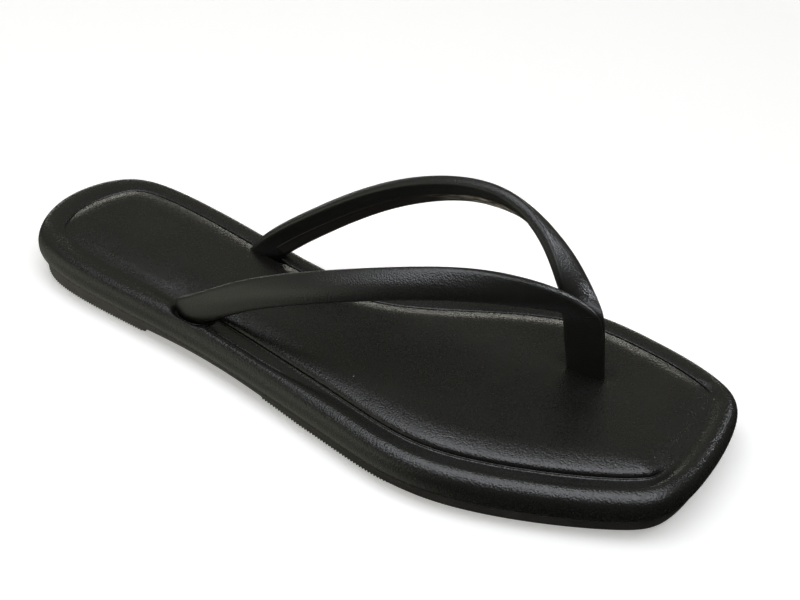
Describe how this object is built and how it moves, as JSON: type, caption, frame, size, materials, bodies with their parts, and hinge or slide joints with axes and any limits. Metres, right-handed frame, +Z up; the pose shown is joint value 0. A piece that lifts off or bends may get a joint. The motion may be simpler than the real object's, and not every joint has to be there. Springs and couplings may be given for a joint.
{
  "type": "flip-flop sandal",
  "caption": "Flat thong sandal for the right foot with a square toe, padded footbed in a raised wrapped rim, slim rounded straps joined at a toe post and a low rubber sole.",
  "frame": {"origin": "on the floor under the middle of the shoe's box", "axes": "+Y towards the heel, so the toe points along -Y; +X towards the inner side of the foot; +Z up from the floor"},
  "size_m": [0.0928, 0.25, 0.0619],
  "materials": {
    "moulded_rubber": "matte",
    "rim_leather": "fine grain, low sheen",
    "pad_leather": "fine grain, low sheen",
    "strap_leather": "fine grain, soft sheen"
  },
  "bodies": {
    "root": {"outsole": "moulded_rubber", "midsole": "rim_leather", "insole": "pad_leather", "straps": "strap_leather"}
  },
  "joints": []
}
